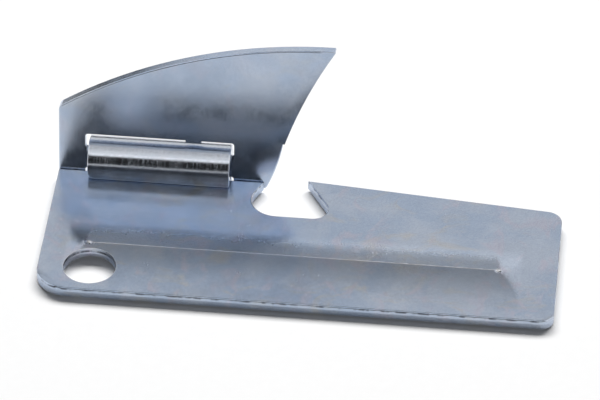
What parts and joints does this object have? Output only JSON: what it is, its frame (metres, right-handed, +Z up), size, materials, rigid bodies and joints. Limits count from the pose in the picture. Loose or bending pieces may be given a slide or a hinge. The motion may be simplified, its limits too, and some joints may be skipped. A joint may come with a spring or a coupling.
{
  "type": "folding can opener",
  "caption": "Folding sheet-steel can opener: flat ribbed handle plate with a rim notch and key-ring hole, and a pointed blade that folds down on a rolled hinge.",
  "frame": {"origin": "middle of the bounding box on the handle plate's underside, with the blade swung up against its stop, 6 degrees past square to the handle", "axes": "+X along the handle from the hinge and key-ring end to the plain end, +Y from the front edge to the hinge side, +Z up from the handle's face towards the open blade"},
  "size_m": [0.0508, 0.022, 0.0163],
  "materials": {
    "zinc_plated_handle": "bright blue-white zinc plate, semi-gloss",
    "zinc_plated_blade": "bright blue-white zinc plate, semi-gloss, ground at the cutting edge"
  },
  "bodies": {
    "handle": {"handle_plate": "zinc_plated_handle"},
    "blade": {"blade": "zinc_plated_blade"}
  },
  "joints": [
    {"name": "blade_hinge", "type": "hinge", "parent": "handle", "child": "blade", "pos_m": [-0.0152, 0.00879, 0.0022], "axis": [1, 0, 0], "range_deg": [0, 96]}
  ]
}
